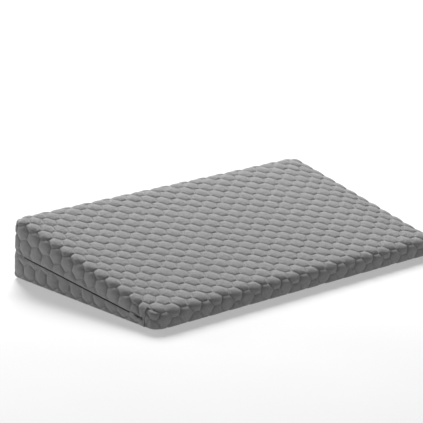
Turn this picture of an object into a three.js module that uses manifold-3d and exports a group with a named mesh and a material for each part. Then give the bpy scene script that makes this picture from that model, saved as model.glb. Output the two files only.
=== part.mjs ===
// Inclined wedge mattress: a two-layer foam wedge in a liner and a zipped, quilted knit cover.
// Millimetres, +Z up. X runs along the long edges, -Y is the thin front edge, +Y the thick back
// edge, and the zip is on the -X side. The origin is the middle of the underside.
import * as THREE from "three";
import { mergeVertices } from "three/addons/utils/BufferGeometryUtils.js";
import Module from "manifold-3d";

// Overall size of the covered wedge
const LENGTH = 600;
const DEPTH = 307;
const BACK_HEIGHT = 93.5;
const FRONT_HEIGHT = 27.5;
const CORNER_RADIUS = 18;
const TOP_EDGE_RADIUS = 11;
const BASE_EDGE_RADIUS = 6;
const LEAST_RADIUS = 1;

// Layers, from the outside in
const COVER_WALL = 4;
const LINER_WALL = 0.8;
const COMFORT_LAYER = 7;
const GAP = 0.3;

// Seam between the upper and the lower part of the cover
const SEAM_BACK_HEIGHT = 41;
const SEAM_FRONT_HEIGHT = 11.6;
const SEAM_GAP = 0.4;
const CORNER_SEAM_SETBACK = 24;
const CORNER_SEAM_WIDTH = 2.4;
const CORNER_SEAM_RISE = 1.2;
const CORNER_SEAM_CLEARANCE = 4;
const BINDING_WIDTH = 12;
const TAPE_THICKNESS = 0.6;

// Concealed zip: the cover's two lips meet in front of the teeth and the slider
const ZIP_FRONT_SETBACK = 6;
const ZIP_BACK_SETBACK = 33;
const ZIP_LIP_OPENING = 2.4;
const ZIP_CHANNEL_MARGIN = 1.5;
const ZIP_CHANNEL_END = 3;
const TAPE_WIDTH = 12;
const TAPE_END = 4.5;
const COIL_WIDTH = 4.4;
const COIL_THICKNESS = 1.4;
const TOOTH_PITCH = 3;
const TOOTH_WIDTH = 1.2;
const TOOTH_LENGTH = 0.8;
const WEDGE_CLEARANCE = 1.2;
const TOP_STOP_LENGTH = 2.6;
const BOTTOM_STOP_LENGTH = 3;
const STOP_RISE = 0.4;

// Slider and pull tab
const SLIDER_LENGTH = 10;
const SLIDER_NOSE_WIDTH = 8;
const SLIDER_TAIL_WIDTH = 5.6;
const SLIDER_BACK_PLATE = 0.8;
const SLIDER_BACK_WIDTH = 7;
const SLIDER_FRONT_PLATE = 1;
const SLIDER_BLADE_LENGTH = 3;
const SLIDER_BLADE_SETBACK = 0.8;
const BRIDGE_LENGTH = 6;
const BRIDGE_BAR = 0.9;
const BRIDGE_CLEARANCE = 0.4;
const BRIDGE_STANDOFF = 0.1;
const TAB_LENGTH = 13;
const TAB_WIDTH = 5;
const TAB_THICKNESS = 1;
const TAB_PIN_RADIUS = 0.55;
const TAB_PIN_PLAY = 0.35;
const TAB_END_ROUNDING = 1.6;

// Care label, folded in two and sewn into the back seam
const LABEL_WIDTH = 30;
const LABEL_DROP = 24;
const LABEL_CLOTH = 0.3;
const LABEL_FROM_SIDE = 120;

// Fineness of the rounded edges
const EDGE_SEGMENTS = 4;
const CORNER_SEGMENTS = 6;
const PIN_SEGMENTS = 16;

const SLOPE = Math.atan2(BACK_HEIGHT - FRONT_HEIGHT, DEPTH);
const SEAM_SLOPE = Math.atan2(SEAM_BACK_HEIGHT - SEAM_FRONT_HEIGHT, DEPTH);
const TAPE_INSET = COVER_WALL + GAP;
const LINER_INSET = TAPE_INSET + TAPE_THICKNESS + GAP;
const FOAM_INSET = LINER_INSET + Math.max(LINER_WALL, SLIDER_BACK_PLATE) + GAP;
const FRONT_Y = -DEPTH / 2;
const BACK_Y = DEPTH / 2;
const SIDE_X = -LENGTH / 2;
const CORNER_SEAM_Y = FRONT_Y + CORNER_SEAM_SETBACK;

const wasm = await Module();
wasm.setup();

// ---- Solids -------------------------------------------------------------------------------

function solid(geometry) {
  const bare = geometry.clone();
  bare.deleteAttribute("normal");
  bare.deleteAttribute("uv");
  const merged = mergeVertices(bare, 1e-4);
  return new wasm.Manifold(new wasm.Mesh({
    numProp: 3,
    vertProperties: new Float32Array(merged.attributes.position.array),
    triVerts: new Uint32Array(merged.index.array),
  }));
}

function geometryOf(manifold) {
  const mesh = manifold.getMesh();
  const geometry = new THREE.BufferGeometry();
  geometry.setAttribute("position", new THREE.BufferAttribute(mesh.vertProperties, 3));
  geometry.setIndex(new THREE.BufferAttribute(mesh.triVerts, 1));
  return geometry;
}

function box(low, high) {
  const size = high.map((value, axis) => value - low[axis]);
  const geometry = new THREE.BoxGeometry(...size);
  geometry.translate(...low.map((value, axis) => value + size[axis] / 2));
  return geometry;
}

function roundedRectangle(length, depth, radius) {
  const x = length / 2 - radius;
  const y = depth / 2 - radius;
  const shape = new THREE.Shape();
  shape.absarc(x, y, radius, 0, Math.PI / 2);
  shape.absarc(-x, y, radius, Math.PI / 2, Math.PI);
  shape.absarc(-x, -y, radius, Math.PI, 1.5 * Math.PI);
  shape.absarc(x, -y, radius, 1.5 * Math.PI, 2 * Math.PI);
  shape.closePath();
  return shape;
}

// A closed outline in the YZ plane, swept along X across the whole wedge.
function acrossLength(points) {
  const outline = new THREE.Shape(points.map(([y, z]) => new THREE.Vector2(y, z)));
  const geometry = new THREE.ExtrudeGeometry(outline, { depth: 2 * LENGTH, bevelEnabled: false });
  geometry.translate(0, 0, -LENGTH);
  const axes = new THREE.Matrix4().makeBasis(
    new THREE.Vector3(0, 1, 0), new THREE.Vector3(0, 0, 1), new THREE.Vector3(1, 0, 0));
  return solid(geometry.applyMatrix4(axes));
}

function topHeight(y) {
  return FRONT_HEIGHT + Math.tan(SLOPE) * (y - FRONT_Y);
}

function seamHeight(y) {
  return SEAM_FRONT_HEIGHT + Math.tan(SEAM_SLOPE) * (y - FRONT_Y);
}

// The rounded wedge, every face moved in by inset. A rounded slab is made as high as the back,
// its upper rounding is widened, and its upper half is let down towards the front.
function wedge(inset) {
  const length = LENGTH - 2 * inset;
  const depth = DEPTH - 2 * inset;
  const corner = CORNER_RADIUS - inset;
  const baseRadius = Math.max(BASE_EDGE_RADIUS - inset, LEAST_RADIUS);
  const topRadius = Math.max(TOP_EDGE_RADIUS - inset, LEAST_RADIUS);
  const top = topHeight(depth / 2) - inset / Math.cos(SLOPE);
  const slab = new THREE.ExtrudeGeometry(roundedRectangle(length, depth, corner), {
    depth: top - inset - 2 * baseRadius,
    bevelThickness: baseRadius,
    bevelSize: baseRadius,
    bevelOffset: -baseRadius,
    bevelSegments: EDGE_SEGMENTS,
    curveSegments: CORNER_SEGMENTS,
  });
  slab.translate(0, 0, inset + baseRadius);
  const widening = topRadius / baseRadius;
  const coreX = length / 2 - corner;
  const coreY = depth / 2 - corner;
  const points = slab.attributes.position;
  for (let i = 0; i < points.count; i += 1) {
    const z = points.getZ(i);
    if (z < (inset + top) / 2) continue;
    const x = points.getX(i);
    const y = points.getY(i);
    const nearX = THREE.MathUtils.clamp(x, -coreX, coreX);
    const nearY = THREE.MathUtils.clamp(y, -coreY, coreY);
    const reach = Math.hypot(x - nearX, y - nearY);
    const scale = (corner - (corner - reach) * widening) / reach;
    const newY = nearY + (y - nearY) * scale;
    const drop = Math.tan(SLOPE) * (depth / 2 - newY);
    points.setXYZ(i, nearX + (x - nearX) * scale, newY, top - (top - z) * widening - drop);
  }
  return solid(slab);
}

function layer(outerInset, thickness) {
  return wedge(outerInset).subtract(wedge(outerInset + thickness));
}

// ---- The zip's own frame: x towards the front along the seam, y up across it, z outwards ----

const ZIP_FRONT_Y = CORNER_SEAM_Y + ZIP_FRONT_SETBACK;
const ZIP_BACK_Y = BACK_Y - ZIP_BACK_SETBACK;
const ZIP_MIDDLE_Y = (ZIP_FRONT_Y + ZIP_BACK_Y) / 2;
const ZIP_HALF = (ZIP_BACK_Y - ZIP_FRONT_Y) / 2 / Math.cos(SEAM_SLOPE);
const ZIP_FRAME = new THREE.Matrix4().makeBasis(
  new THREE.Vector3(0, -Math.cos(SEAM_SLOPE), -Math.sin(SEAM_SLOPE)),
  new THREE.Vector3(0, -Math.sin(SEAM_SLOPE), Math.cos(SEAM_SLOPE)),
  new THREE.Vector3(-1, 0, 0),
).setPosition(SIDE_X, ZIP_MIDDLE_Y, seamHeight(ZIP_MIDDLE_Y));

const TAPE_FRONT = -TAPE_INSET;
const TAPE_BACK = TAPE_FRONT - TAPE_THICKNESS;
const COIL_BACK = TAPE_FRONT + GAP;
const COIL_FRONT = COIL_BACK + COIL_THICKNESS;
const ZIP_LIP_THICKNESS = COVER_WALL - COIL_THICKNESS - SLIDER_FRONT_PLATE - 2 * GAP;
const ZIP_CHANNEL_WIDTH = SLIDER_NOSE_WIDTH + 2 * ZIP_CHANNEL_MARGIN;
const LINER_MOUTH_WIDTH = SLIDER_BACK_WIDTH + 2 * ZIP_CHANNEL_MARGIN;
const FRONT_PLATE_BACK = COIL_FRONT + GAP;
const FRONT_PLATE_FRONT = FRONT_PLATE_BACK + SLIDER_FRONT_PLATE;
const BACK_PLATE_FRONT = TAPE_BACK - GAP;
const SLIDER_X = ZIP_HALF - TOP_STOP_LENGTH - GAP - SLIDER_LENGTH / 2;
const BRIDGE_WIDTH = ZIP_LIP_OPENING - 2 * BRIDGE_CLEARANCE;
const BRIDGE_OPENING = 2 * (TAB_PIN_RADIUS + TAB_PIN_PLAY);
const BRIDGE_REACH = Math.hypot(BRIDGE_LENGTH / 2, BRIDGE_OPENING / 2 + BRIDGE_BAR);

function zipBox(low, high) {
  return solid(box(low, high).applyMatrix4(ZIP_FRAME));
}

// ---- Foam and liner -----------------------------------------------------------------------

function foamBelow(depthUnderTop) {
  const drop = (FOAM_INSET + depthUnderTop) / Math.cos(SLOPE);
  return acrossLength([
    [FRONT_Y, -DEPTH],
    [BACK_Y, -DEPTH],
    [BACK_Y, topHeight(BACK_Y) - drop],
    [FRONT_Y, topHeight(FRONT_Y) - drop],
  ]);
}

function foamBase() {
  return wedge(FOAM_INSET).intersect(foamBelow(COMFORT_LAYER + GAP));
}

function foamComfortLayer() {
  return wedge(FOAM_INSET).subtract(foamBelow(COMFORT_LAYER));
}

function innerLiner() {
  const reach = ZIP_HALF + TAPE_END;
  const mouth = zipBox(
    [-reach, -LINER_MOUTH_WIDTH / 2, -FOAM_INSET - GAP],
    [reach, LINER_MOUTH_WIDTH / 2, 0]);
  return layer(LINER_INSET, LINER_WALL).subtract(mouth);
}

// ---- Cover --------------------------------------------------------------------------------

// Everything under the seam and behind the front corner seams, each edge moved in by gap.
function underSeam(gap) {
  const front = CORNER_SEAM_Y + gap;
  const back = BACK_Y + COVER_WALL;
  return acrossLength([
    [front, -COVER_WALL],
    [back, -COVER_WALL],
    [back, seamHeight(back) - gap],
    [front, seamHeight(front) - gap],
  ]);
}

// The channel behind the lips, and the narrow opening between them.
function zipRoom() {
  const channelReach = ZIP_HALF + ZIP_CHANNEL_END;
  const channel = zipBox(
    [-channelReach, -ZIP_CHANNEL_WIDTH / 2, -COVER_WALL - GAP],
    [channelReach, ZIP_CHANNEL_WIDTH / 2, -ZIP_LIP_THICKNESS]);
  const openingReach = ZIP_HALF + GAP;
  const opening = zipBox(
    [-openingReach, -ZIP_LIP_OPENING / 2, -COVER_WALL - GAP],
    [openingReach, ZIP_LIP_OPENING / 2, COVER_WALL]);
  return channel.add(opening);
}

function coverUpper() {
  return layer(0, COVER_WALL).subtract(underSeam(0)).subtract(zipRoom());
}

function coverLower() {
  return layer(0, COVER_WALL).intersect(underSeam(SEAM_GAP)).subtract(zipRoom());
}

// Tape sewn over the inside of the seam along the back and the +X side, from where the wall
// below the seam is high enough for it.
function seamBinding() {
  const half = BINDING_WIDTH / 2;
  const roomBelow = (BASE_EDGE_RADIUS + half - SEAM_FRONT_HEIGHT) / Math.tan(SEAM_SLOPE);
  const front = Math.max(CORNER_SEAM_Y + CORNER_SEAM_CLEARANCE, FRONT_Y + roomBelow);
  const band = acrossLength([
    [front, seamHeight(front) - half],
    [BACK_Y, seamHeight(BACK_Y) - half],
    [BACK_Y, seamHeight(BACK_Y) + half],
    [front, seamHeight(front) + half],
  ]);
  const zipReach = ZIP_BACK_Y + TAPE_END + CORNER_SEAM_CLEARANCE;
  const zipSide = box([SIDE_X, FRONT_Y, 0], [SIDE_X + CORNER_RADIUS, zipReach, BACK_HEIGHT]);
  const middle = box(
    [SIDE_X + CORNER_RADIUS, FRONT_Y, 0],
    [-SIDE_X - CORNER_RADIUS, BACK_Y - CORNER_RADIUS, BACK_HEIGHT]);
  const walls = layer(TAPE_INSET, TAPE_THICKNESS).subtract(solid(middle)).subtract(solid(zipSide));
  return walls.intersect(band);
}

// Tape sewn over the inside of the seam that crosses the underside behind the front edge.
function frontSeamBinding() {
  const halfLength = LENGTH / 2 - CORNER_RADIUS;
  const half = BINDING_WIDTH / 2;
  const strip = box(
    [-halfLength, CORNER_SEAM_Y - half, 0],
    [halfLength, CORNER_SEAM_Y + half, TAPE_INSET + 2 * TAPE_THICKNESS]);
  return layer(TAPE_INSET, TAPE_THICKNESS).intersect(solid(strip));
}

// Raised overlocked seam up each side, where the front of the cover is folded round the corner.
function cornerSeam(side) {
  const half = CORNER_SEAM_WIDTH / 2;
  const outside = side * (LENGTH / 2 + CORNER_SEAM_RISE + GAP);
  const inside = side * (LENGTH / 2 - TOP_EDGE_RADIUS);
  const slice = box(
    [Math.min(outside, inside), CORNER_SEAM_Y - half, BASE_EDGE_RADIUS / 2],
    [Math.max(outside, inside), CORNER_SEAM_Y + half, BACK_HEIGHT]);
  return layer(-GAP - CORNER_SEAM_RISE, CORNER_SEAM_RISE).intersect(solid(slice));
}

// The label hangs as a folded loop from the back seam.
function careLabel() {
  const wall = BACK_Y + GAP;
  const top = SEAM_BACK_HEIGHT - SEAM_GAP;
  const bottom = top - LABEL_DROP;
  const leaf = LABEL_CLOTH;
  const profile = [
    [wall, top], [wall, bottom], [wall + 3 * leaf, bottom], [wall + 3 * leaf, top],
    [wall + 2 * leaf, top], [wall + 2 * leaf, bottom + leaf], [wall + leaf, bottom + leaf],
    [wall + leaf, top],
  ];
  const start = SIDE_X + LABEL_FROM_SIDE;
  const width = solid(box([start, BACK_Y, 0], [start + LABEL_WIDTH, 2 * BACK_Y, BACK_HEIGHT]));
  return acrossLength(profile).intersect(width);
}

// ---- Zip ----------------------------------------------------------------------------------

// Each tape follows the inside of the cover, so the lower one turns under at the front.
function zipTape(side) {
  const inner = WEDGE_CLEARANCE / 2;
  const outer = inner + TAPE_WIDTH;
  const reach = ZIP_HALF + TAPE_END;
  const low = [-reach, Math.min(side * inner, side * outer), -CORNER_RADIUS];
  const high = [reach, Math.max(side * inner, side * outer), 0];
  return layer(TAPE_INSET, TAPE_THICKNESS).intersect(zipBox(low, high));
}

// One row of teeth on its edge cord, with room down the middle for the slider's wedge.
function zipCoil(side) {
  const start = -ZIP_HALF + BOTTOM_STOP_LENGTH + GAP;
  const end = ZIP_HALF - TOP_STOP_LENGTH - GAP;
  const edge = COIL_WIDTH / 2;
  const tip = WEDGE_CLEARANCE / 2;
  const root = tip + TOOTH_LENGTH;
  const phase = side > 0 ? 0 : TOOTH_PITCH / 2;
  const outline = new THREE.Shape();
  outline.moveTo(end, side * edge);
  outline.lineTo(start, side * edge);
  outline.lineTo(start, side * root);
  for (let x = start + GAP + phase; x + TOOTH_WIDTH < end; x += TOOTH_PITCH) {
    outline.lineTo(x, side * root);
    outline.lineTo(x, side * tip);
    outline.lineTo(x + TOOTH_WIDTH, side * tip);
    outline.lineTo(x + TOOTH_WIDTH, side * root);
  }
  outline.lineTo(end, side * root);
  const coil = new THREE.ExtrudeGeometry(outline, { depth: COIL_THICKNESS, bevelEnabled: false });
  return solid(coil.translate(0, 0, COIL_BACK));
}

function topStop(side) {
  const inner = WEDGE_CLEARANCE / 2;
  const outer = COIL_WIDTH / 2;
  return solid(box(
    [ZIP_HALF - TOP_STOP_LENGTH, Math.min(side * inner, side * outer), COIL_BACK],
    [ZIP_HALF, Math.max(side * inner, side * outer), COIL_FRONT + STOP_RISE]));
}

function bottomStop() {
  const half = COIL_WIDTH / 2;
  return solid(box(
    [-ZIP_HALF, -half, COIL_BACK],
    [-ZIP_HALF + BOTTOM_STOP_LENGTH, half, COIL_FRONT + STOP_RISE]));
}

// A slider plate seen from outside: a broad nose with rounded shoulders and a narrower tail.
function sliderPlate(noseWidth, tailWidth, thickness) {
  const nose = SLIDER_LENGTH / 2;
  const shoulder = SLIDER_LENGTH / 5;
  const outline = new THREE.Shape();
  outline.moveTo(nose, -noseWidth / 4);
  outline.lineTo(nose, noseWidth / 4);
  outline.quadraticCurveTo(nose, noseWidth / 2, nose - shoulder, noseWidth / 2);
  outline.lineTo(-shoulder / 2, tailWidth / 2);
  outline.lineTo(-nose, tailWidth / 2);
  outline.lineTo(-nose, -tailWidth / 2);
  outline.lineTo(-shoulder / 2, -tailWidth / 2);
  outline.lineTo(nose - shoulder, -noseWidth / 2);
  outline.quadraticCurveTo(nose, -noseWidth / 2, nose, -noseWidth / 4);
  return new THREE.ExtrudeGeometry(outline, {
    depth: thickness, bevelEnabled: false, curveSegments: EDGE_SEGMENTS });
}

// The neck that passes between the lips, and the bridge on it that holds the pull tab's pin.
function sliderBridge() {
  const half = BRIDGE_LENGTH / 2;
  const foot = FRONT_PLATE_FRONT - GAP;
  const windowTop = BRIDGE_STANDOFF + BRIDGE_OPENING;
  const height = windowTop + BRIDGE_BAR;
  const outline = new THREE.Shape();
  outline.moveTo(half, foot);
  outline.lineTo(half, windowTop);
  outline.quadraticCurveTo(half, height, half - BRIDGE_BAR, height);
  outline.lineTo(BRIDGE_BAR - half, height);
  outline.quadraticCurveTo(-half, height, -half, windowTop);
  outline.lineTo(-half, foot);
  const window = new THREE.Path();
  window.moveTo(BRIDGE_BAR - half, BRIDGE_STANDOFF);
  window.lineTo(BRIDGE_BAR - half, windowTop);
  window.lineTo(half - BRIDGE_BAR, windowTop);
  window.lineTo(half - BRIDGE_BAR, BRIDGE_STANDOFF);
  outline.holes.push(window);
  const bridge = new THREE.ExtrudeGeometry(outline, {
    depth: BRIDGE_WIDTH, bevelEnabled: false, curveSegments: EDGE_SEGMENTS });
  bridge.translate(0, 0, -BRIDGE_WIDTH / 2);
  return solid(bridge.rotateX(Math.PI / 2));
}

function zipSlider() {
  const bladeFront = SLIDER_LENGTH / 2 - SLIDER_BLADE_SETBACK;
  const bladeHalf = WEDGE_CLEARANCE / 2 - GAP;
  const frontPlate = sliderPlate(SLIDER_NOSE_WIDTH, SLIDER_TAIL_WIDTH, SLIDER_FRONT_PLATE);
  const backTail = SLIDER_TAIL_WIDTH - (SLIDER_NOSE_WIDTH - SLIDER_BACK_WIDTH);
  const backPlate = sliderPlate(SLIDER_BACK_WIDTH, backTail, SLIDER_BACK_PLATE);
  const blade = box(
    [bladeFront - SLIDER_BLADE_LENGTH, -bladeHalf, BACK_PLATE_FRONT - SLIDER_BACK_PLATE / 2],
    [bladeFront, bladeHalf, FRONT_PLATE_BACK + SLIDER_FRONT_PLATE / 2]);
  return solid(frontPlate.translate(0, 0, FRONT_PLATE_BACK))
    .add(solid(backPlate.translate(0, 0, BACK_PLATE_FRONT - SLIDER_BACK_PLATE)))
    .add(solid(blade))
    .add(sliderBridge());
}

// The pull tab lies back along the zip, its pin through the bridge at the tab's own origin.
function zipPullTab() {
  const half = TAB_WIDTH / 2;
  const windowHalf = BRIDGE_WIDTH / 2 + GAP;
  const outline = new THREE.Shape();
  outline.moveTo(0, -half);
  outline.lineTo(0, half);
  outline.lineTo(-TAB_LENGTH + TAB_END_ROUNDING, half);
  outline.quadraticCurveTo(-TAB_LENGTH, half, -TAB_LENGTH, half - TAB_END_ROUNDING);
  outline.lineTo(-TAB_LENGTH, TAB_END_ROUNDING - half);
  outline.quadraticCurveTo(-TAB_LENGTH, -half, -TAB_LENGTH + TAB_END_ROUNDING, -half);
  const plate = new THREE.ExtrudeGeometry(outline, {
    depth: TAB_THICKNESS, bevelEnabled: false, curveSegments: EDGE_SEGMENTS });
  plate.translate(0, 0, -TAB_THICKNESS / 2);
  const windowEnd = -BRIDGE_REACH - 2 * GAP;
  const window = box([windowEnd, -windowHalf, -TAB_THICKNESS], [GAP, windowHalf, TAB_THICKNESS]);
  const pin = new THREE.CylinderGeometry(TAB_PIN_RADIUS, TAB_PIN_RADIUS, TAB_WIDTH, PIN_SEGMENTS);
  return solid(plate).subtract(solid(window)).add(solid(pin));
}

// ---- Assembly -----------------------------------------------------------------------------

const knit = { color: 0x8f8f8f, roughness: 0.95, metalness: 0 };
const band = { color: 0x4b4b4b, roughness: 0.9, metalness: 0 };
const nylon = { color: 0x464646, roughness: 0.55, metalness: 0 };
const zinc = { color: 0x55565a, roughness: 0.4, metalness: 0.8 };
const baseFoam = { color: 0xe9e4d4, roughness: 1, metalness: 0 };
const comfortFoam = { color: 0xf3efe2, roughness: 1, metalness: 0 };
const liner = { color: 0xf2f2f0, roughness: 0.9, metalness: 0 };
const satin = { color: 0xf4f4f2, roughness: 0.6, metalness: 0 };

const mattress = new THREE.Group();
const zip = new THREE.Group();
zip.applyMatrix4(ZIP_FRAME);
mattress.add(zip);

function place(parent, name, manifold, finish) {
  const mesh = new THREE.Mesh(geometryOf(manifold), new THREE.MeshStandardMaterial(finish));
  mesh.name = name;
  parent.add(mesh);
  return mesh;
}

place(mattress, "foam_base", foamBase(), baseFoam);
place(mattress, "foam_comfort_layer", foamComfortLayer(), comfortFoam);
place(mattress, "inner_liner", innerLiner(), liner);
place(mattress, "cover_upper", coverUpper(), knit);
place(mattress, "cover_lower", coverLower(), knit);
place(mattress, "seam_binding", seamBinding(), band);
place(mattress, "front_seam_binding", frontSeamBinding(), band);
place(mattress, "corner_seam_left", cornerSeam(-1), knit);
place(mattress, "corner_seam_right", cornerSeam(1), knit);
place(mattress, "care_label", careLabel(), satin);
place(mattress, "zip_tape_upper", zipTape(1), band);
place(mattress, "zip_tape_lower", zipTape(-1), band);
place(zip, "zip_coil_upper", zipCoil(1), nylon);
place(zip, "zip_coil_lower", zipCoil(-1), nylon);
place(zip, "zip_top_stop_upper", topStop(1), zinc);
place(zip, "zip_top_stop_lower", topStop(-1), zinc);
place(zip, "zip_bottom_stop", bottomStop(), zinc);
place(zip, "zip_slider", zipSlider(), zinc).position.set(SLIDER_X, 0, 0);
const tab = place(zip, "zip_pull_tab", zipPullTab(), zinc);
tab.position.set(SLIDER_X, 0, BRIDGE_STANDOFF + BRIDGE_OPENING / 2);

export default mattress;
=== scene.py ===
import math

import bmesh
import bpy
import numpy as np
from mathutils import Matrix, Quaternion, Vector


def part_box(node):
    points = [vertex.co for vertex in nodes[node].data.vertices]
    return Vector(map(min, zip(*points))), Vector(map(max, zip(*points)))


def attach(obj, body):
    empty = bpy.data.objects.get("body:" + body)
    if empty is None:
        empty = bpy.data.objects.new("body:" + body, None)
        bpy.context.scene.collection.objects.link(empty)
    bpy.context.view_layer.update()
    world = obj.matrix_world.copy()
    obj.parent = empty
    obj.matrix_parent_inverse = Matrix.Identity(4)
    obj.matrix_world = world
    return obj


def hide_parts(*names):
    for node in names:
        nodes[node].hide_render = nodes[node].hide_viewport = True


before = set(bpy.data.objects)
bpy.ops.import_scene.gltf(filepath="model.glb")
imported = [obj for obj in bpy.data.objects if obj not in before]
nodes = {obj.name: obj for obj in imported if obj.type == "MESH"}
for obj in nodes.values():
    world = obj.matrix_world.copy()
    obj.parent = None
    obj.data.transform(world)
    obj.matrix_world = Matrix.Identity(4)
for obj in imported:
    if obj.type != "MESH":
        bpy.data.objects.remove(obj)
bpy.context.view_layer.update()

# ---- Foam wedge ---------------------------------------------------------------------------
# Two layers of open-cell polyurethane foam, cut to the wedge and glued face to face: a firm base
# and a softer, paler comfort layer under the sloped top. The liner hides both.


def new_finish(name, roughness):
    """A node material and its shader."""
    material = bpy.data.materials.new(name)
    material.use_nodes = True
    shader = material.node_tree.nodes["Principled BSDF"]
    shader.inputs["Roughness"].default_value = roughness
    return material, shader


def add(material, kind, inputs=(), **settings):
    """A node with its settings, and its inputs set to numbers or linked to other outputs."""
    made = material.node_tree.nodes.new(kind)
    for name, value in settings.items():
        setattr(made, name, value)
    for key, value in dict(inputs).items():
        if isinstance(value, bpy.types.NodeSocket):
            material.node_tree.links.new(value, made.inputs[key])
        else:
            made.inputs[key].default_value = value
    return made


def calculate(material, operation, *values):
    """The output of a Math node."""
    return add(material, "ShaderNodeMath", enumerate(values), operation=operation).outputs[0]


def ramp(material, factor, stops):
    """A colour ramp through (place, colour) stops."""
    made = add(material, "ShaderNodeValToRGB", {"Fac": factor})
    points = made.color_ramp.elements
    points[0].position, points[0].color = stops[0][0], (*stops[0][1], 1)
    points[1].position, points[1].color = stops[-1][0], (*stops[-1][1], 1)
    for place, colour in stops[1:-1]:
        points.new(place).color = (*colour, 1)
    return made.outputs["Color"]


def emboss(material, shader, height, distance):
    """Bump on the shader from a height."""
    bump = add(material, "ShaderNodeBump", {"Height": height, "Distance": distance})
    material.node_tree.links.new(bump.outputs["Normal"], shader.inputs["Normal"])


def colour_with(material, shader, colour):
    """Feeds the shader's base colour."""
    material.node_tree.links.new(colour, shader.inputs["Base Color"])


def refinish(node, material):
    """Gives a carried-over node its material."""
    nodes[node].material_slots[0].material = material


def foam_finish(name, pale, deep, pore):
    """Open-cell foam with pores of a given size."""
    material, shader = new_finish(name, 1)
    place = add(material, "ShaderNodeTexCoord").outputs["Object"]
    pores = add(material, "ShaderNodeTexVoronoi", {"Vector": place, "Scale": 1 / pore})
    clouds = add(material, "ShaderNodeTexNoise", {"Vector": place, "Scale": 18, "Detail": 4})
    depth = calculate(material, "SMOOTH_MIN", pores.outputs["Distance"], 0.45, 0.2)
    shade = calculate(material, "MULTIPLY_ADD", clouds.outputs["Fac"], 0.5, depth)
    colour_with(material, shader, ramp(material, shade, [(0.15, deep), (0.75, pale)]))
    emboss(material, shader, depth, pore * 0.6)
    return material


refinish("foam_base", foam_finish("firm foam", (0.82, 0.79, 0.68), (0.6, 0.56, 0.44), 0.0011))
refinish("foam_comfort_layer",
         foam_finish("soft foam", (0.9, 0.88, 0.8), (0.72, 0.69, 0.58), 0.0008))

# ---- Inner liner --------------------------------------------------------------------------
# A thin white stocking of plain cotton jersey that holds the two foams together and lets the
# cover slide on. It is open behind the zip.


def rib_finish(name, pale, deep, pitch, relief):
    """Plain cloth with fine upright ribs crossed by rows."""
    material, shader = new_finish(name, 0.9)
    shader.inputs["Sheen Weight"].default_value = 0.2
    place = add(material, "ShaderNodeTexCoord").outputs["Object"]
    spread = add(material, "ShaderNodeMapping", {"Vector": place, "Scale": (1, 1, 0.7)})
    ribs = add(material, "ShaderNodeTexWave", {
        "Vector": spread.outputs["Vector"], "Scale": 0.31 / pitch, "Distortion": 0.4,
        "Detail": 1}, bands_direction="DIAGONAL")
    rows = add(material, "ShaderNodeTexWave", {
        "Vector": place, "Scale": 0.31 / pitch, "Distortion": 0.3}, bands_direction="Z")
    weave = calculate(material, "MULTIPLY", ribs.outputs["Fac"], rows.outputs["Fac"])
    wear = add(material, "ShaderNodeTexNoise", {"Vector": place, "Scale": 30, "Detail": 3})
    shade = calculate(material, "MULTIPLY_ADD", wear.outputs["Fac"], 0.5, weave)
    colour_with(material, shader, ramp(material, shade, [(0.1, deep), (0.8, pale)]))
    emboss(material, shader, weave, relief)
    return material


refinish("inner_liner",
         rib_finish("liner jersey", (0.88, 0.88, 0.86), (0.7, 0.7, 0.68), 0.0012, 0.0002))

# ---- Woven tapes --------------------------------------------------------------------------
# Dark grey polyester tapes: one is sewn over the inside of each plain seam, and two carry the
# zip's teeth. They are woven with a fine herringbone.

tape_cloth = rib_finish("woven tape", (0.05, 0.05, 0.052), (0.018, 0.018, 0.019), 0.0006, 0.00015)
for tape in ("seam_binding", "front_seam_binding", "zip_tape_upper", "zip_tape_lower"):
    refinish(tape, tape_cloth)

# ---- Zip teeth ----------------------------------------------------------------------------
# Two rows of coiled nylon teeth on the tapes' edges, and the pressed metal stops at their ends.
# The coil is wound round a cord and dyed to go with the cover.

nylon, nylon_shader = new_finish("coil nylon", 0.45)
nylon_place = add(nylon, "ShaderNodeTexCoord").outputs["Object"]
nylon_grain = add(nylon, "ShaderNodeTexNoise", {"Vector": nylon_place, "Scale": 900, "Detail": 3})
colour_with(nylon, nylon_shader, ramp(nylon, nylon_grain.outputs["Fac"], [
    (0.3, (0.012, 0.012, 0.013)), (0.7, (0.03, 0.03, 0.032))]))
emboss(nylon, nylon_shader, nylon_grain.outputs["Fac"], 0.00005)
refinish("zip_coil_upper", nylon)
refinish("zip_coil_lower", nylon)

# ---- Slider, stops and pull tab -----------------------------------------------------------
# Die-cast zinc, painted dark grey to match the cloth, rubbed a little brighter along its edges.
# The pull tab hangs on a pin through the slider's bridge.

PAINT_EDGE = 0.00012

paint, paint_shader = new_finish("painted zinc", 0.38)
paint_shader.inputs["Metallic"].default_value = 0.3
paint_place = add(paint, "ShaderNodeTexCoord").outputs["Object"]
paint_wear = add(paint, "ShaderNodeTexNoise", {"Vector": paint_place, "Scale": 700, "Detail": 5})
paint_edges = add(paint, "ShaderNodeNewGeometry").outputs["Pointiness"]
paint_mix = calculate(paint, "MULTIPLY_ADD", paint_wear.outputs["Fac"], 0.12, paint_edges)
colour_with(paint, paint_shader, ramp(paint, paint_mix, [
    (0.5, (0.03, 0.03, 0.032)), (0.57, (0.045, 0.045, 0.047)), (0.66, (0.22, 0.22, 0.225))]))
emboss(paint, paint_shader, paint_wear.outputs["Fac"], 0.00003)
for casting in ("zip_slider", "zip_pull_tab", "zip_top_stop_upper", "zip_top_stop_lower",
                "zip_bottom_stop"):
    refinish(casting, paint)
    weld = nodes[casting].modifiers.new("Join", "WELD")
    weld.merge_threshold = 1e-6
    rounding = nodes[casting].modifiers.new("Cast edges", "BEVEL")
    rounding.width = PAINT_EDGE
    rounding.segments = 2
    rounding.limit_method = "ANGLE"

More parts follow.
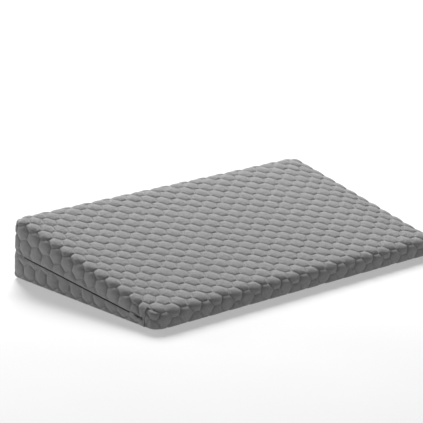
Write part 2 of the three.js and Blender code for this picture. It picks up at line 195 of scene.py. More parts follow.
# ---- Quilted cover ------------------------------------------------------------------------
# A grey double-jersey cover, knitted in padded hexagons with narrow bound-down lines between
# them. It is pulled tight over the foam, and a seam at a slant parts it in two: the upper part
# with the folded front edge, and the lower part with the base.

# Outside sizes, and the heights and places of the seams.
FRONT_HEIGHT = 0.0275
BACK_HEIGHT = 0.0935
CORNER = 0.018
TOP_EDGE = 0.011
BASE_EDGE = 0.006
COVER_WALL = 0.004
SEAM_FRONT = 0.0116
SEAM_BACK = 0.041
SEAM_GAP = 0.0004
CORNER_SEAM_SETBACK = 0.024
ZIP_BACK_SETBACK = 0.033
ZIP_FRONT_SETBACK = 0.006

# The zip's opening between the lips, and the wider channel behind them.
OPENING = 0.002
OPENING_PAST_END = 0.0003
CHANNEL = 0.011
CHANNEL_PAST_END = 0.003
LIP_THICKNESS = 0.0011
CHANNEL_DEPTH = 0.0052
LIP_HEIGHT = 0.0003
LIP_REACH = (0.0065, 0.009)
LIP_PAST_END = 0.004

# How the smooth wedge is made fuller before the cells are pressed in.
VOXEL = 0.005
START_INSET = 0.0016
SWELL_LEAST = 0.0008
SWELL_CAP = 0.0014
SWELL_FRAMES = 20
PRESSURE = 4

# The cells' spacing and place on the flat cloth, how far they stand up, and how deep the lines
# between them are bound down.
CELL_ACROSS = 0.0201
CELL_ALONG = 0.0247
NEIGHBOUR = math.hypot(CELL_ACROSS, CELL_ALONG / 2)
CELL_OFFSET = (0.0008, 0.0087)
LOWER_OFFSET = (0.006, 0.011)
SIDE_TAKE_UP = (0.0109, 0.0041)
SIDE_EASE = 0.065
FRONT_EASE = 0.03
WANDER = 0.0005
CELL_VARIETY = 0.07
DOME_WIDTH = 0.0115
DOME_HEIGHT = 0.0017
CREASE_WIDTH = 0.0026
CREASE_HEIGHT = 0.0007
BOUND_DEPTH = 0.0012
REST_HEIGHT = 0.0004
REST_FADE = 0.010
WALL_RELIEF = 1.5

cover_high = Vector(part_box("cover_upper")[1])
HALF_LENGTH = cover_high.x
HALF_DEPTH = cover_high.y
SEAM_Y = -HALF_DEPTH + CORNER_SEAM_SETBACK
RISE = (BACK_HEIGHT - FRONT_HEIGHT) / (2 * HALF_DEPTH)
SEAM_RISE = (SEAM_BACK - SEAM_FRONT) / (2 * HALF_DEPTH)
SLOPE = math.atan(RISE)
ZIP_BACK_Y = HALF_DEPTH - ZIP_BACK_SETBACK
ZIP_FRONT_Y = SEAM_Y + ZIP_FRONT_SETBACK


def deselect():
    if bpy.context.object and bpy.context.object.mode != "OBJECT":
        bpy.ops.object.mode_set(mode="OBJECT")
    bpy.ops.object.select_all(action="DESELECT")


def make_active(piece):
    deselect()
    piece.select_set(True)
    bpy.context.view_layer.objects.active = piece


def apply_modifiers(piece):
    make_active(piece)
    for name in [modifier.name for modifier in piece.modifiers]:
        bpy.ops.object.modifier_apply(modifier=name)


def choose(piece, kind, test):
    """In edit mode, selects the vertices, edges or faces whose middle passes a test."""
    bpy.ops.mesh.select_all(action="DESELECT")
    bpy.ops.mesh.select_mode(type=kind)
    shape = bmesh.from_edit_mesh(piece.data)
    parts = {"VERT": shape.verts, "EDGE": shape.edges, "FACE": shape.faces}[kind]
    for part in parts:
        points = [part.co] if kind == "VERT" else [v.co for v in part.verts]
        part.select_set(test(points))
    shape.select_flush_mode()
    bmesh.update_edit_mesh(piece.data)


def wedge(name, inset):
    """The rounded wedge, every face moved in by inset: a box whose front is let down, with its
    upright, upper and lower edges rounded."""
    half_length, half_depth = HALF_LENGTH - inset, HALF_DEPTH - inset
    drop = inset / math.cos(SLOPE)
    back = BACK_HEIGHT - RISE * inset - drop
    front = FRONT_HEIGHT + RISE * inset - drop
    deselect()
    bpy.ops.mesh.primitive_cube_add(size=1)
    piece = bpy.context.object
    piece.name = piece.data.name = name
    bpy.ops.object.mode_set(mode="EDIT")
    bpy.ops.transform.resize(value=(2 * half_length, 2 * half_depth, back - inset))
    bpy.ops.transform.translate(value=(0, 0, (back + inset) / 2))
    choose(piece, "VERT", lambda points: points[0].y < 0 and points[0].z > back / 2)
    bpy.ops.transform.translate(value=(0, 0, front - back))
    choose(piece, "EDGE", lambda points: abs(points[0].x - points[1].x) < 1e-6
           and abs(points[0].y - points[1].y) < 1e-6)
    bpy.ops.mesh.bevel(offset=CORNER - inset, segments=6, affect="EDGES")
    choose(piece, "EDGE", lambda points: all(
        abs(p.z - front - RISE * (p.y + half_depth)) < 1e-5 for p in points))
    bpy.ops.mesh.bevel(offset=max(TOP_EDGE - inset, 0.001), segments=4, affect="EDGES")
    choose(piece, "EDGE", lambda points: all(abs(p.z - inset) < 1e-5 for p in points))
    bpy.ops.mesh.bevel(offset=max(BASE_EDGE - inset, 0.001), segments=4, affect="EDGES")
    bpy.ops.mesh.select_all(action="SELECT")
    bpy.ops.mesh.normals_make_consistent(inside=False)
    bpy.ops.object.mode_set(mode="OBJECT")
    return piece


def positions(piece):
    values = np.empty(len(piece.data.vertices) * 3, np.float32)
    piece.data.vertices.foreach_get("co", values)
    return values.reshape(-1, 3).astype(float)


def set_positions(piece, points):
    piece.data.vertices.foreach_set("co", points.astype(np.float32).ravel())
    piece.data.update()


def normals(piece):
    values = np.empty(len(piece.data.vertices) * 3, np.float32)
    piece.data.vertex_normals.foreach_get("vector", values)
    return values.reshape(-1, 3).astype(float)


def smoothstep(low, high, values):
    t = np.clip((values - low) / (high - low), 0, 1)
    return t * t * (3 - 2 * t)


def swell(piece):
    """Moves the cloth out a little, less where it stands on its base. A pressure simulation says
    where it bellies out and where it draws in, by far more than a cover full of foam can, so its
    movement is held to a least and a most, and nearly every point ends at one of the two."""
    before = positions(piece)
    outward = normals(piece)
    cloth = piece.modifiers.new("Swell", "CLOTH")
    cloth.settings.quality = 4
    cloth.settings.use_pressure = True
    cloth.settings.uniform_pressure_force = PRESSURE
    cloth.settings.effector_weights.gravity = 0
    cloth.point_cache.frame_start = 1
    cloth.point_cache.frame_end = SWELL_FRAMES
    for step in range(1, SWELL_FRAMES + 1):
        bpy.context.scene.frame_set(step)
    apply_modifiers(piece)
    bpy.context.scene.frame_set(1)
    moved = ((positions(piece) - before) * outward).sum(axis=1)
    most = SWELL_LEAST + (SWELL_CAP - SWELL_LEAST) * smoothstep(0.001, 0.012, before[:, 2])
    set_positions(piece, before + outward * np.clip(moved, SWELL_LEAST, most)[:, None])


def seam_height(y):
    """The height of the slanting seam."""
    return SEAM_FRONT + SEAM_RISE * (y + HALF_DEPTH)


def rounded(points, drop, radius):
    """How far each point is down the wall from the flat face that drop is measured from, along
    the cloth, with the plan direction and the share of the rounding it has passed."""
    x, y = points[:, 0], points[:, 1]
    core_x = np.clip(x, CORNER - HALF_LENGTH, HALF_LENGTH - CORNER)
    core_y = np.clip(y, CORNER - HALF_DEPTH, HALF_DEPTH - CORNER)
    out_x, out_y = x - core_x, y - core_y
    reach = np.hypot(out_x, out_y)
    flat = CORNER - radius
    bend = np.arctan2(np.maximum(reach - flat, 0), np.maximum(radius - drop, 1e-9))
    down = np.where(drop < radius, radius * bend, radius * math.pi / 2 + drop - radius)
    down = np.where(reach > flat, down, 0)
    turn = np.where(drop < radius, bend / (math.pi / 2), 1) * (reach > flat)
    safe = np.maximum(reach, 1e-9)
    return core_x, core_y, out_x / safe, out_y / safe, np.minimum(reach, flat), down, turn


def unfold_upper(points, guides):
    """Where each point lies on the flat cloth of the upper part. The cloth runs straight down
    each wall from the sloped top, is darted at the back corners, and wraps the front corners as
    far as the corner seams. guides say which side of a dart or seam a point belongs to."""
    drop = np.maximum(FRONT_HEIGHT + RISE * (points[:, 1] + HALF_DEPTH) - points[:, 2], 0)
    core_x, core_y, nx, ny, level, down, turn = rounded(points, drop, TOP_EDGE)
    across = core_x + (level + down) * nx
    along = (core_y + level * ny) / math.cos(SLOPE) + down * ny
    along = along - drop * math.sin(SLOPE) * np.abs(nx) * (drop > 0)
    side = np.sign(points[:, 0])
    angle = np.arctan2(np.abs(ny), np.abs(nx))
    edge_x = HALF_LENGTH - CORNER
    edge_y = HALF_DEPTH - CORNER
    flat = CORNER - TOP_EDGE
    guide_x = np.abs(guides[:, 0]) - edge_x
    guide_y = np.abs(guides[:, 1]) - edge_y
    back = (guides[:, 1] > edge_y) & (guide_x > 0)
    back_side = back & (guide_x > guide_y)
    back_back = back & ~back_side
    front = (guides[:, 1] < SEAM_Y) & (guide_x > 0)
    past = np.maximum(points[:, 1] + edge_y, 0)
    wrap_x = np.select(
        [back_side, back_back, front],
        [side * (edge_x + flat + down), side * (edge_x + CORNER * (math.pi / 2 - angle)),
         side * (edge_x + CORNER * (math.pi / 2 - angle) + past)], across)
    wrap_y = np.select(
        [back_side, back_back, front],
        [edge_y / math.cos(SLOPE) + CORNER * angle - drop * math.sin(SLOPE),
         (edge_y + flat) / math.cos(SLOPE) + down,
         -(edge_y + flat) / math.cos(SLOPE) - down], along)
    share = smoothstep(0, 1, turn)
    return across + (wrap_x - across) * share, along + (wrap_y - along) * share


def unfold_lower(points, guides):
    """The same for the lower part, whose cloth runs up each wall from the base."""
    drop = np.maximum(points[:, 2], 0)
    core_x, core_y, nx, ny, level, down, turn = rounded(points, drop, BASE_EDGE)
    across = core_x + (level + down) * nx
    along = core_y + (level + down) * ny
    side = np.sign(points[:, 0])
    angle = np.arctan2(np.abs(ny), np.abs(nx))
    edge_x = HALF_LENGTH - CORNER
    edge_y = HALF_DEPTH - CORNER
    flat = CORNER - BASE_EDGE
    guide_x = np.abs(guides[:, 0]) - edge_x
    guide_y = np.abs(guides[:, 1]) - edge_y
    back = (guides[:, 1] > edge_y) & (guide_x > 0)
    back_side = back & (guide_x > guide_y)
    back_back = back & ~back_side
    wrap_x = np.select([back_side, back_back], [
        side * (edge_x + flat + down), side * (edge_x + CORNER * (math.pi / 2 - angle))], across)
    wrap_y = np.select([back_side, back_back], [
        edge_y + CORNER * angle, edge_y + flat + down], along)
    share = smoothstep(0, 1, turn)
    return across + (wrap_x - across) * share, along + (wrap_y - along) * share


def is_lower(points):
    return (points[:, 2] < seam_height(points[:, 1])) & (points[:, 1] > SEAM_Y)


def unfold(points, guides):
    """The flat cloth's own coordinates, in metres, for both parts of the cover. The upper cloth
    is eased in a little towards each short side, where it is pulled over the edge."""
    lower = is_lower(guides)
    upper_x, upper_y = unfold_upper(points, guides)
    eased = smoothstep(HALF_LENGTH - SIDE_EASE, HALF_LENGTH - 0.001, np.abs(points[:, 0]))
    eased = eased * smoothstep(SEAM_Y - 0.002, SEAM_Y + FRONT_EASE, points[:, 1])
    upper_x = upper_x + SIDE_TAKE_UP[0] * np.sign(points[:, 0]) * eased
    upper_y = upper_y + SIDE_TAKE_UP[1] * eased
    lower_x, lower_y = unfold_lower(points, guides)
    across = np.where(lower, lower_x - LOWER_OFFSET[0], upper_x - CELL_OFFSET[0])
    along = np.where(lower, lower_y - LOWER_OFFSET[1], upper_y - CELL_OFFSET[1])
    return (across + WANDER * np.sin(along * 41 + 1.3) + WANDER * np.sin(across * 23 + along * 67),
            along + WANDER * np.sin(across * 37 + 0.4) + WANDER * np.sin(across * 71 - along * 29))


def to_line(across, along):
    """Distance from each point of the cloth to the nearest line between cells, in metres. Cells
    stand in columns, every second one half a cell up, and each line runs midway between two
    neighbours' middles."""
    from_column = np.abs(across - 2 * CELL_ACROSS * np.round(across / (2 * CELL_ACROSS)))
    from_row = np.abs(along - CELL_ALONG * np.round(along / CELL_ALONG))
    slant = NEIGHBOUR / 2 - (from_column * CELL_ACROSS + from_row * CELL_ALONG / 2) / NEIGHBOUR
    level = np.where(slant > 0, CELL_ALONG / 2 - from_row, from_row)
    return np.minimum(np.abs(slant), level)


def quilt(piece):
    """Raises each cell of the cloth into a cushion between its bound-down lines."""
    points = positions(piece)
    outward = normals(piece)
    across, along = unfold(points, points)
    line = to_line(across, along)
    own = np.sin(across * 171) * np.sin(along * 143 + 1)
    drop = np.maximum(FRONT_HEIGHT + RISE * (points[:, 1] + HALF_DEPTH) - points[:, 2], 0)
    *_, turn = rounded(points, drop, TOP_EDGE)
    on_wall = smoothstep(0.3, 0.8, turn)
    from_seam = np.abs(points[:, 2] - seam_height(points[:, 1])) + 1 - (
        (points[:, 1] > SEAM_Y) & (turn > 0.5))
    sides = np.abs(points[:, 0]) > HALF_LENGTH - CORNER
    from_corner_seam = np.abs(points[:, 1] - SEAM_Y) + 1 - on_wall * sides
    edge_x = np.abs(points[:, 0]) - HALF_LENGTH + CORNER
    edge_y = points[:, 1] - HALF_DEPTH + CORNER
    from_dart = np.abs(np.arctan2(edge_y, edge_x) - math.pi / 4) * CORNER + 1 - (
        on_wall * (edge_x > 0) * (edge_y > 0))
    nearest = np.minimum.reduce([line, from_seam, from_corner_seam, from_dart])
    t = np.clip(nearest / DOME_WIDTH, 0, 1)
    crease = np.clip(nearest / CREASE_WIDTH, 0, 1)
    dome = DOME_HEIGHT * (1 - (1 - t) ** 2) + CREASE_HEIGHT * (1 - (1 - crease) ** 2)
    at_zip = (points[:, 0] < CORNER - HALF_LENGTH) & (points[:, 1] < ZIP_BACK_Y + LIP_PAST_END)
    lips = at_zip * (1 - smoothstep(*LIP_REACH, from_seam))
    relief = (1 + CELL_VARIETY * own) * (1 + (WALL_RELIEF - 1) * on_wall)
    height = dome * relief - BOUND_DEPTH
    lip = LIP_HEIGHT * lips - BOUND_DEPTH * (1 - lips)
    height = np.where(lips > 0, np.maximum(height, lip), height)
    pressed = smoothstep(0.001, REST_FADE, points[:, 2])
    height = np.minimum(height, REST_HEIGHT + DOME_HEIGHT * 2 * pressed)
    set_positions(piece, points + outward * height[:, None])


def part_of(whole, name, keep_below):
    """One part of the cover: the outside above or below the seam, hollowed for the foam."""
    piece = whole.copy()
    piece.data = whole.data.copy()
    piece.name = piece.data.name = name
    bpy.context.collection.objects.link(piece)
    gap = SEAM_GAP if keep_below else 0
    deselect()
    bpy.ops.mesh.primitive_cube_add(size=1)
    cutter = bpy.context.object
    front, back = SEAM_Y + gap, HALF_DEPTH * 1.2
    bpy.ops.object.mode_set(mode="EDIT")
    bpy.ops.transform.resize(value=(HALF_LENGTH * 2.4, back - front, 1))
    bpy.ops.transform.translate(value=(0, (back + front) / 2, 0))
    for end, y in ((-1, front), (1, back)):
        for top, z in ((True, seam_height(y) - gap), (False, -0.02)):
            choose(cutter, "VERT", lambda points: (points[0].y - (back + front) / 2) * end > 0
                   and (points[0].z > 0.1 if top else points[0].z < -0.1))
            bpy.ops.transform.translate(value=(0, 0, z - (0.5 if top else -0.5)))
    bpy.ops.object.mode_set(mode="OBJECT")
    hollow = wedge("hollow", COVER_WALL)
    slot = zip_room()
    for operation, tool in (("INTERSECT" if keep_below else "DIFFERENCE", cutter),
                            ("DIFFERENCE", hollow), ("DIFFERENCE", slot)):
        cut = piece.modifiers.new(tool.name, "BOOLEAN")
        cut.solver = "MANIFOLD"
        cut.operation = operation
        cut.object = tool
        apply_modifiers(piece)
        bpy.data.objects.remove(tool)
    return piece


def zip_room():
    """What is cut out for the zip: the narrow opening between the lips, and the channel behind."""
    middle_y = (ZIP_BACK_Y + ZIP_FRONT_Y) / 2
    tilt = math.atan(SEAM_RISE)
    half = (ZIP_BACK_Y - ZIP_FRONT_Y) / 2 / math.cos(tilt)
    tools = []
    for low_x, high_x, width, reach in (
            (-0.02, CHANNEL_DEPTH, OPENING, half + OPENING_PAST_END),
            (LIP_THICKNESS, CHANNEL_DEPTH, CHANNEL, half + CHANNEL_PAST_END)):
        deselect()
        bpy.ops.mesh.primitive_cube_add(size=1)
        tool = bpy.context.object
        bpy.ops.object.mode_set(mode="EDIT")
        bpy.ops.transform.resize(value=(high_x - low_x, 2 * reach, width))
        bpy.ops.transform.translate(value=((high_x + low_x) / 2, 0, 0))
        bpy.ops.object.mode_set(mode="OBJECT")
        tool.data.transform(Matrix.Rotation(tilt, 4, "X"))
        tool.data.transform(Matrix.Translation((-HALF_LENGTH, middle_y, seam_height(middle_y))))
        tools.append(tool)
    join = tools[0].modifiers.new("Channel", "BOOLEAN")
    join.solver = "MANIFOLD"
    join.operation = "UNION"
    join.object = tools[1]
    apply_modifiers(tools[0])
    bpy.data.objects.remove(tools[1])
    return tools[0]


def lay_out(piece):
    """The cloth's own coordinates as a UV map, in metres."""
    data = piece.data
    count = len(data.loops)
    corner = np.empty(count, np.int32)
    data.loops.foreach_get("vertex_index", corner)
    centre = np.empty(len(data.polygons) * 3, np.float32)
    data.polygons.foreach_get("center", centre)
    sides = np.empty(len(data.polygons), np.int32)
    data.polygons.foreach_get("loop_total", sides)
    guides = np.repeat(centre.reshape(-1, 3).astype(float), sides, axis=0)
    across, along = unfold(positions(piece)[corner], guides)
    layer = data.uv_layers.new(name="cloth")
    layer.data.foreach_set("uv", np.stack([across, along], 1).astype(np.float32).ravel())


knit, knit_shader = new_finish("cover knit", 0.92)
knit_shader.inputs["Sheen Weight"].default_value = 0.25
knit_shader.inputs["Sheen Roughness"].default_value = 0.6
knit_shader.inputs["Specular IOR Level"].default_value = 0.2
knit_cloth = add(knit, "ShaderNodeUVMap", uv_map="cloth").outputs["UV"]
knit_split = add(knit, "ShaderNodeSeparateXYZ", {"Vector": knit_cloth})
STITCH_ACROSS = 0.0013
STITCH_ALONG = 0.0011
RIB = 0.0026
wale = calculate(knit, "DIVIDE", knit_split.outputs["X"], STITCH_ACROSS)
wale_place = calculate(knit, "PINGPONG", wale, 0.5)
course = calculate(knit, "DIVIDE", knit_split.outputs["Y"], STITCH_ALONG)
course = calculate(knit, "ADD", course, wale_place)
course_place = calculate(knit, "PINGPONG", course, 0.5)
wale_round = calculate(knit, "SINE", calculate(knit, "MULTIPLY", wale_place, 2 * math.pi))
course_round = calculate(knit, "SINE", calculate(knit, "MULTIPLY", course_place, 2 * math.pi))
stitch = calculate(knit, "MULTIPLY",
                   calculate(knit, "ABSOLUTE", wale_round),
                   calculate(knit, "ABSOLUTE", course_round))
rib = calculate(knit, "PINGPONG", calculate(knit, "DIVIDE", knit_split.outputs["X"], RIB), 0.5)
knit_place = add(knit, "ShaderNodeTexCoord").outputs["Object"]
fuzz = add(knit, "ShaderNodeTexNoise", {"Vector": knit_place, "Scale": 1400, "Detail": 4})
blotch = add(knit, "ShaderNodeTexNoise", {"Vector": knit_place, "Scale": 320, "Detail": 5})
from_column = calculate(knit, "PINGPONG", knit_split.outputs["X"], CELL_ACROSS)
from_row = calculate(knit, "PINGPONG", knit_split.outputs["Y"], CELL_ALONG / 2)
slant = calculate(knit, "MULTIPLY", from_column, -CELL_ACROSS / NEIGHBOUR)
slant = calculate(knit, "MULTIPLY_ADD", from_row, -CELL_ALONG / 2 / NEIGHBOUR, slant)
slant = calculate(knit, "ADD", slant, NEIGHBOUR / 2)
level = calculate(knit, "MULTIPLY", calculate(knit, "GREATER_THAN", slant, 0), CELL_ALONG / 2)
level = calculate(knit, "ABSOLUTE", calculate(knit, "SUBTRACT", level, from_row))
line = calculate(knit, "MINIMUM", calculate(knit, "ABSOLUTE", slant), level)
bound = add(knit, "ShaderNodeMapRange", {
    "Value": line, "From Min": 0.0, "From Max": 0.0012}, interpolation_type="SMOOTHSTEP")
# Painted shade: the colour is made up to 6 % darker along the bound-down lines between the cells,
# standing in for the shade that gathers in their creases.
painted_crease_shade = calculate(knit, "MULTIPLY_ADD", bound.outputs["Result"], 0.06, 0.94)
mix = calculate(knit, "MULTIPLY_ADD", fuzz.outputs["Fac"], 0.35, stitch)
mix = calculate(knit, "MULTIPLY_ADD", blotch.outputs["Fac"], 0.6, mix)
mix = calculate(knit, "MULTIPLY_ADD", rib, 0.35, mix)
mix = calculate(knit, "MULTIPLY", mix, 0.5)
shades = ramp(knit, mix, [(0.15, (0.13, 0.13, 0.131)), (0.5, (0.24, 0.24, 0.242)),
                          (0.85, (0.33, 0.33, 0.332))])
# The knit's own colour multiplied by the painted crease shade.
knit_colour_with_crease_shade = add(knit, "ShaderNodeMix", {0: 1.0, 6: shades, 7: painted_crease_shade},
           data_type="RGBA", blend_type="MULTIPLY")
colour_with(knit, knit_shader, knit_colour_with_crease_shade.outputs[2])
relief = calculate(knit, "MULTIPLY_ADD", rib, 0.8, stitch)
relief = calculate(knit, "MULTIPLY_ADD", bound.outputs["Result"], 1.8, relief)
emboss(knit, knit_shader, relief, 0.0002)

puffed = wedge("puffed", START_INSET)
remesh = puffed.modifiers.new("Even", "REMESH")
remesh.mode = "VOXEL"
remesh.voxel_size = VOXEL
apply_modifiers(puffed)
swell(puffed)
settle = puffed.modifiers.new("Settle", "SMOOTH")
settle.factor = 0.5
settle.iterations = 4
fine = puffed.modifiers.new("Fine", "SUBSURF")
fine.levels = fine.render_levels = 2
apply_modifiers(puffed)
quilt(puffed)
upper = part_of(puffed, "quilted_cover_upper", False)
lower = part_of(puffed, "quilted_cover_lower", True)
bpy.data.objects.remove(puffed)
for part, cad_node in ((upper, "cover_upper"), (lower, "cover_lower")):
    make_active(part)
    bpy.ops.object.shade_smooth_by_angle(angle=math.radians(50))
    lay_out(part)
    part.data.materials.clear()
    part.data.materials.append(knit)
    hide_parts(cad_node)
    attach(part, "wedge")

# ---- Corner seams and zip end -------------------------------------------------------------
# The side and front cloth meet at the front corners in an overlocked seam, turned in over a
# cord so that it stands as a ridge. A bar of zigzag stitches closes the zip's front end.

SEAM_CORD = 0.0011
SEAM_INSET = 0.0008
SEAM_THREAD = 0.00022
SEAM_TURN = 0.0013


def strand(name, points, radius):
    """A round strand through a list of points, as a mesh."""
    deselect()
    bpy.ops.curve.primitive_nurbs_path_add()
    piece = bpy.context.object
    piece.name = piece.data.name = name
    piece.data.splines.clear()
    line = piece.data.splines.new("POLY")
    line.points.add(len(points) - 1)
    for place, point in zip(line.points, points):
        place.co = (*point, 1)
    piece.data.bevel_depth = radius
    piece.data.bevel_resolution = 1
    piece.data.use_fill_caps = True
    bpy.ops.object.convert(target="MESH")
    bpy.ops.object.shade_smooth()
    return piece


def wall_line(side, y, inset, steps):
    """Even points up a short wall from its rounded base edge to its rounded top edge."""
    top = FRONT_HEIGHT + RISE * (y + HALF_DEPTH)
    turns = np.radians(np.linspace(25, 0, 5))
    low = [(HALF_LENGTH - BASE_EDGE + (BASE_EDGE - inset) * math.cos(a),
            BASE_EDGE - (BASE_EDGE - inset) * math.sin(a)) for a in turns]
    turns = np.radians(np.linspace(0, 60, 8))
    high = [(HALF_LENGTH - TOP_EDGE + (TOP_EDGE - inset) * math.cos(a),
             top - TOP_EDGE + (TOP_EDGE - inset) * math.sin(a)) for a in turns]
    outline = np.array(low + high)
    run = np.concatenate([[0], np.cumsum(np.linalg.norm(np.diff(outline, axis=0), axis=1))])
    even = np.linspace(0, run[-1], steps)
    return np.stack([side * np.interp(even, run, outline[:, 0]), np.full(steps, y),
                     np.interp(even, run, outline[:, 1])], 1), run[-1]


thread, thread_shader = new_finish("overlock thread", 0.7)
thread_shader.inputs["Sheen Weight"].default_value = 0.3
thread_place = add(thread, "ShaderNodeTexCoord").outputs["Object"]
thread_ply = add(thread, "ShaderNodeTexWave", {
    "Vector": thread_place, "Scale": 900, "Distortion": 2}, bands_direction="DIAGONAL")
thread_fuzz = add(thread, "ShaderNodeTexNoise", {"Vector": thread_place, "Scale": 1500})
thread_mix = calculate(thread, "MULTIPLY_ADD", thread_ply.outputs["Fac"], 0.4,
                       thread_fuzz.outputs["Fac"])
colour_with(thread, thread_shader, ramp(thread, thread_mix, [
    (0.3, (0.13, 0.13, 0.132)), (0.9, (0.29, 0.29, 0.292))]))
emboss(thread, thread_shader, thread_ply.outputs["Fac"], 0.00008)


def corner_seam(side, name, cad_node):
    """The corded ridge of one corner seam, and the thread wound round it."""
    spine, length = wall_line(side, SEAM_Y, SEAM_INSET, 40)
    spine[:, 1] += 0.0003 * np.sin(np.linspace(0, 9, 40))
    cord = strand(name, spine, SEAM_CORD)
    cord.data.materials.append(thread)
    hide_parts(cad_node)
    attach(cord, "wedge")
    steps = round(length / SEAM_TURN) * 10
    spine, length = wall_line(side, SEAM_Y, SEAM_INSET, steps)
    ahead = np.gradient(spine, axis=0)
    ahead /= np.linalg.norm(ahead, axis=1)[:, None]
    across = np.array([0.0, 1.0, 0.0])
    out = np.cross(ahead, across)
    angle = np.arange(steps) * 2 * math.pi / 10
    reach = SEAM_CORD + SEAM_THREAD / 2
    turns = spine + reach * (np.cos(angle)[:, None] * across + np.sin(angle)[:, None] * out)
    wrap = strand(name + "_thread", turns, SEAM_THREAD)
    wrap.data.materials.append(thread)
    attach(wrap, "wedge")


corner_seam(-1, "corner_ridge_left", "corner_seam_left")
corner_seam(1, "corner_ridge_right", "corner_seam_right")

TACK_LENGTH = 0.004
TACK_HEIGHT = 0.0022
TACK_SETBACK = 0.0024
TACK_STITCHES = 18
tack_points = []
for step in range(TACK_STITCHES + 1):
    tack_y = SEAM_Y + TACK_SETBACK + TACK_LENGTH * step / TACK_STITCHES
    tack_points.append((-HALF_LENGTH - 0.0003, tack_y,
                        seam_height(tack_y) + TACK_HEIGHT * (1 if step % 2 else -1)))
tack = strand("zip_end_tack", tack_points, SEAM_THREAD)
tack.data.materials.append(thread)
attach(tack, "wedge")

# ---- Care label ---------------------------------------------------------------------------
# A blank white satin ribbon, folded in half and caught by both ends in the back seam.

LABEL_FLAT = (0.030, 0.048)
LABEL_TURN = 0.0004
LABEL_STAND = 0.0011
LABEL_CURL = 0.0022
LABEL_RIPPLE = 0.0004

label_low, label_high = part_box("care_label")
deselect()
bpy.ops.mesh.primitive_grid_add(x_subdivisions=20, y_subdivisions=64, size=1)
label = bpy.context.object
label.name = label.data.name = "care_ribbon"
flat = positions(label)
across = flat[:, 0] * LABEL_FLAT[0]
run = (flat[:, 1] + 0.5) * LABEL_FLAT[1]
half_run = LABEL_FLAT[1] / 2
straight = half_run - math.pi * LABEL_TURN / 2
turned = np.clip((run - straight) / LABEL_TURN, 0, math.pi)
down = np.minimum(np.where(run < half_run, run, LABEL_FLAT[1] - run), straight)
down = down + LABEL_TURN * np.sin(turned)
away = LABEL_TURN * (1 - np.cos(turned))
curl = LABEL_CURL * (down / half_run) ** 2
curl = curl + LABEL_RIPPLE * np.sin(across * 210) * down / half_run
set_positions(label, np.stack([
    (label_low[0] + label_high[0]) / 2 + across,
    label_low[1] + LABEL_STAND + away + curl,
    label_high[2] - down], 1))
satin, satin_shader = new_finish("label satin", 0.35)
satin_shader.inputs["Sheen Weight"].default_value = 0.3
satin_place = add(satin, "ShaderNodeTexCoord").outputs["Object"]
satin_rows = add(satin, "ShaderNodeTexWave", {
    "Vector": satin_place, "Scale": 620, "Distortion": 0.6}, bands_direction="X")
satin_cloud = add(satin, "ShaderNodeTexNoise", {"Vector": satin_place, "Scale": 120, "Detail": 4})
satin_mix = calculate(satin, "MULTIPLY_ADD", satin_rows.outputs["Fac"], 0.3,
                      satin_cloud.outputs["Fac"])
colour_with(satin, satin_shader, ramp(satin, satin_mix, [
    (0.3, (0.56, 0.56, 0.55)), (0.9, (0.72, 0.72, 0.71))]))
emboss(satin, satin_shader, satin_rows.outputs["Fac"], 0.00003)
label.data.materials.append(satin)
make_active(label)
bpy.ops.object.shade_smooth()
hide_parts("care_label")
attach(label, "wedge")

# ---- Floor, light and camera --------------------------------------------------------------
# A seamless white sweep, with one broad soft light high behind the wedge and a weaker one lower
# down on its tall side.

FLOOR_RADIUS = 9
FLOOR_WALL = 4
FLOOR_CURL = 2.5
FLOOR_GLOW = 0.38
WORLD_GLOW = 0.1

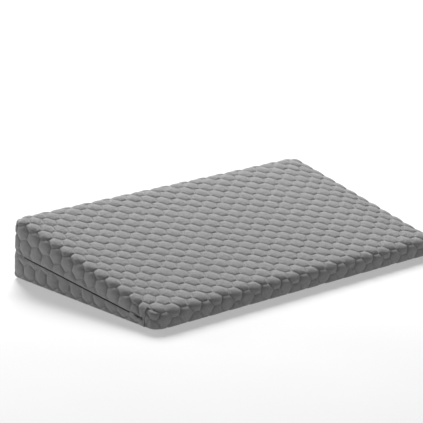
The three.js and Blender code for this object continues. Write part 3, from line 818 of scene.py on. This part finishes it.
deselect()
bpy.ops.mesh.primitive_circle_add(vertices=96, radius=FLOOR_RADIUS, fill_type="NGON")
floor = bpy.context.object
floor.name = "floor"
bpy.ops.object.mode_set(mode="EDIT")
bpy.ops.mesh.select_all(action="DESELECT")
choose(floor, "EDGE", lambda points: True)
bpy.ops.mesh.extrude_edges_move(TRANSFORM_OT_translate={"value": (0, 0, FLOOR_WALL)})
bpy.ops.object.mode_set(mode="OBJECT")
curl = floor.modifiers.new("Sweep", "BEVEL")
curl.width = FLOOR_CURL
curl.segments = 16
curl.limit_method = "ANGLE"
apply_modifiers(floor)
bpy.ops.object.shade_smooth()
paper, paper_shader = new_finish("paper sweep", 0.9)
paper_shader.inputs["Specular IOR Level"].default_value = 0
paper_place = add(paper, "ShaderNodeTexCoord").outputs["Object"]
paper_grain = add(paper, "ShaderNodeTexNoise", {"Vector": paper_place, "Scale": 3, "Detail": 2})
colour_with(paper, paper_shader, ramp(paper, paper_grain.outputs["Fac"], [
    (0.3, (0.42, 0.42, 0.42)), (0.7, (0.44, 0.44, 0.44))]))
paper_shader.inputs["Emission Color"].default_value = (1, 1, 1, 1)
paper_shader.inputs["Emission Strength"].default_value = FLOOR_GLOW
floor.data.materials.append(paper)

world = bpy.data.worlds.new("studio")
bpy.context.scene.world = world
world.use_nodes = True
world.node_tree.nodes["Background"].inputs["Color"].default_value = (1, 1, 1, 1)
world.node_tree.nodes["Background"].inputs["Strength"].default_value = WORLD_GLOW


def soft_light(name, place, size, power):
    """A square area light that faces the wedge."""
    data = bpy.data.lights.new(name, "AREA")
    data.shape = "RECTANGLE"
    data.size = data.size_y = size
    data.energy = power
    light = bpy.data.objects.new(name, data)
    bpy.context.collection.objects.link(light)
    light.location = place
    light.rotation_mode = "QUATERNION"
    light.rotation_quaternion = (-place).to_track_quat("-Z", "Y")


soft_light("overhead", Vector((1.35, 2.4, 2.3)), 1.6, 308)
soft_light("side fill", Vector((-1.3, 2.8, 0.7)), 1.0, 28)

CAMERA_PLACE = Vector((-2.2688, -2.1457, 0.9964))
CAMERA_BACK = Vector((-0.69074, -0.66633, 0.28087))
CAMERA_LENS = 186.68
CAMERA_ROLL = math.radians(2.995)
camera_data = bpy.data.cameras.new("camera")
camera_data.lens = CAMERA_LENS
camera_data.sensor_width = 36
camera_data.clip_end = 100
camera = bpy.data.objects.new("camera", camera_data)
bpy.context.collection.objects.link(camera)
camera.location = CAMERA_PLACE
camera.rotation_mode = "QUATERNION"
camera.rotation_quaternion = (
    (-CAMERA_BACK).to_track_quat("-Z", "Y") @ Quaternion((0, 0, 1), CAMERA_ROLL))
bpy.context.scene.camera = camera
bpy.context.scene.view_settings.view_transform = "Standard"
